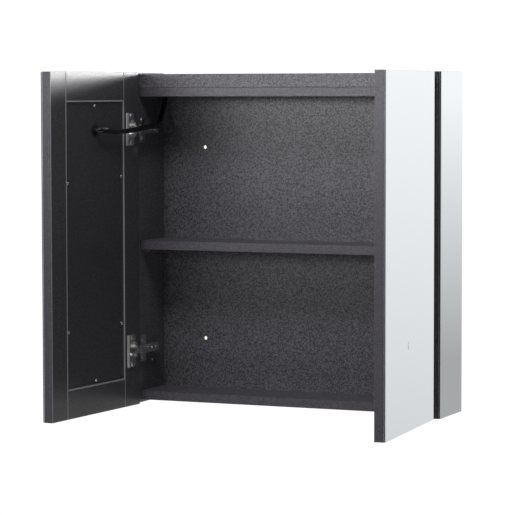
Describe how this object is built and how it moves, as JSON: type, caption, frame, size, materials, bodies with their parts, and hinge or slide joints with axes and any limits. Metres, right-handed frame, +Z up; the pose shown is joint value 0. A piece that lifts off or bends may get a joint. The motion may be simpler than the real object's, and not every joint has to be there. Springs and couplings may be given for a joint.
{
  "type": "mirror cabinet",
  "caption": "Wall-hung bathroom cabinet with mirrored doors standing open on concealed hinges, mirrored sides, a loose shelf, a wiring tray and door light cables.",
  "frame": {"origin": "centre of the back panel's rear face, which lies on the wall", "axes": "+X towards the right side of a person facing the open cabinet, +Y into the wall, +Z up"},
  "size_m": [0.6246, 0.4207, 0.6],
  "materials": {
    "carcass_melamine": "anthracite wood-grain melamine on particle board",
    "frame_film": "dark anthracite film on fibreboard",
    "panel_film": "black film on thin fibreboard",
    "mirror_backing": "black safety backing film and tape",
    "silvered_glass": "silvered float glass",
    "nickel_steel": "nickel-plated stamped steel",
    "cable_sleeve": "glossy black sleeve",
    "white_plastic": "white moulded plastic"
  },
  "bodies": {
    "cabinet": {"side_board_left": "carcass_melamine", "side_backing_left": "mirror_backing", "side_mirror_left": "silvered_glass", "side_board_right": "carcass_melamine", "side_backing_right": "mirror_backing", "side_mirror_right": "silvered_glass", "bottom_board": "carcass_melamine", "top_board": "carcass_melamine", "top_fascia": "carcass_melamine", "back_panel": "carcass_melamine", "light_driver": "white_plastic", "shelf_pin_left_front": "nickel_steel", "shelf_pin_left_rear": "nickel_steel", "shelf_pin_right_front": "nickel_steel", "shelf_pin_right_rear": "nickel_steel", "left_lower_hinge_plate": "nickel_steel", "left_lower_hinge_arm": "nickel_steel", "left_upper_hinge_plate": "nickel_steel", "left_upper_hinge_arm": "nickel_steel", "left_cable": "cable_sleeve", "right_lower_hinge_plate": "nickel_steel", "right_lower_hinge_arm": "nickel_steel", "right_upper_hinge_plate": "nickel_steel", "right_upper_hinge_arm": "nickel_steel", "right_cable": "cable_sleeve"},
    "left_door": {"left_door_hinge_stile": "frame_film", "left_door_free_stile": "frame_film", "left_door_top_rail": "frame_film", "left_door_bottom_rail": "frame_film", "left_door_inner_panel": "panel_film", "left_door_mirror": "silvered_glass", "left_light_board": "white_plastic", "left_cable_grommet": "cable_sleeve", "left_lower_hinge_cup": "nickel_steel", "left_upper_hinge_cup": "nickel_steel"},
    "right_door": {"right_door_hinge_stile": "frame_film", "right_door_free_stile": "frame_film", "right_door_top_rail": "frame_film", "right_door_bottom_rail": "frame_film", "right_door_inner_panel": "panel_film", "right_door_mirror": "silvered_glass", "right_light_board": "white_plastic", "right_cable_grommet": "cable_sleeve", "right_lower_hinge_cup": "nickel_steel", "right_upper_hinge_cup": "nickel_steel", "touch_module": "white_plastic"},
    "left_links": {"left_lower_hinge_link": "nickel_steel", "left_upper_hinge_link": "nickel_steel"},
    "right_links": {"right_lower_hinge_link": "nickel_steel", "right_upper_hinge_link": "nickel_steel"},
    "shelf": {"shelf": "carcass_melamine"}
  },
  "joints": [
    {"name": "left_door_swing", "type": "hinge", "parent": "cabinet", "child": "left_door", "pos_m": [-0.28832, -0.13304, 0], "axis": [0, 0, -1], "range_deg": [-94.1, 0.9], "deforming": ["left_cable"]},
    {"name": "left_link_swing", "type": "hinge", "parent": "cabinet", "child": "left_links", "pos_m": [-0.269, -0.1235, 0], "axis": [0, 0, -1], "range_deg": [-1, 60]},
    {"name": "right_door_swing", "type": "hinge", "parent": "cabinet", "child": "right_door", "pos_m": [0.28832, -0.13304, 0], "axis": [0, 0, 1], "range_deg": [-94.1, 0.9], "deforming": ["right_cable"]},
    {"name": "right_link_swing", "type": "hinge", "parent": "cabinet", "child": "right_links", "pos_m": [0.269, -0.1235, 0], "axis": [0, 0, 1], "range_deg": [-1, 60]},
    {"name": "shelf_lift", "type": "slide", "parent": "cabinet", "child": "shelf", "axis": [0, 0, 1], "range_m": [0, 0.02]}
  ],
  "couplings": [
    {"joint": "left_link_swing", "follows": "left_door_swing", "ratio": -0.6334},
    {"joint": "right_link_swing", "follows": "right_door_swing", "ratio": -0.6334}
  ]
}
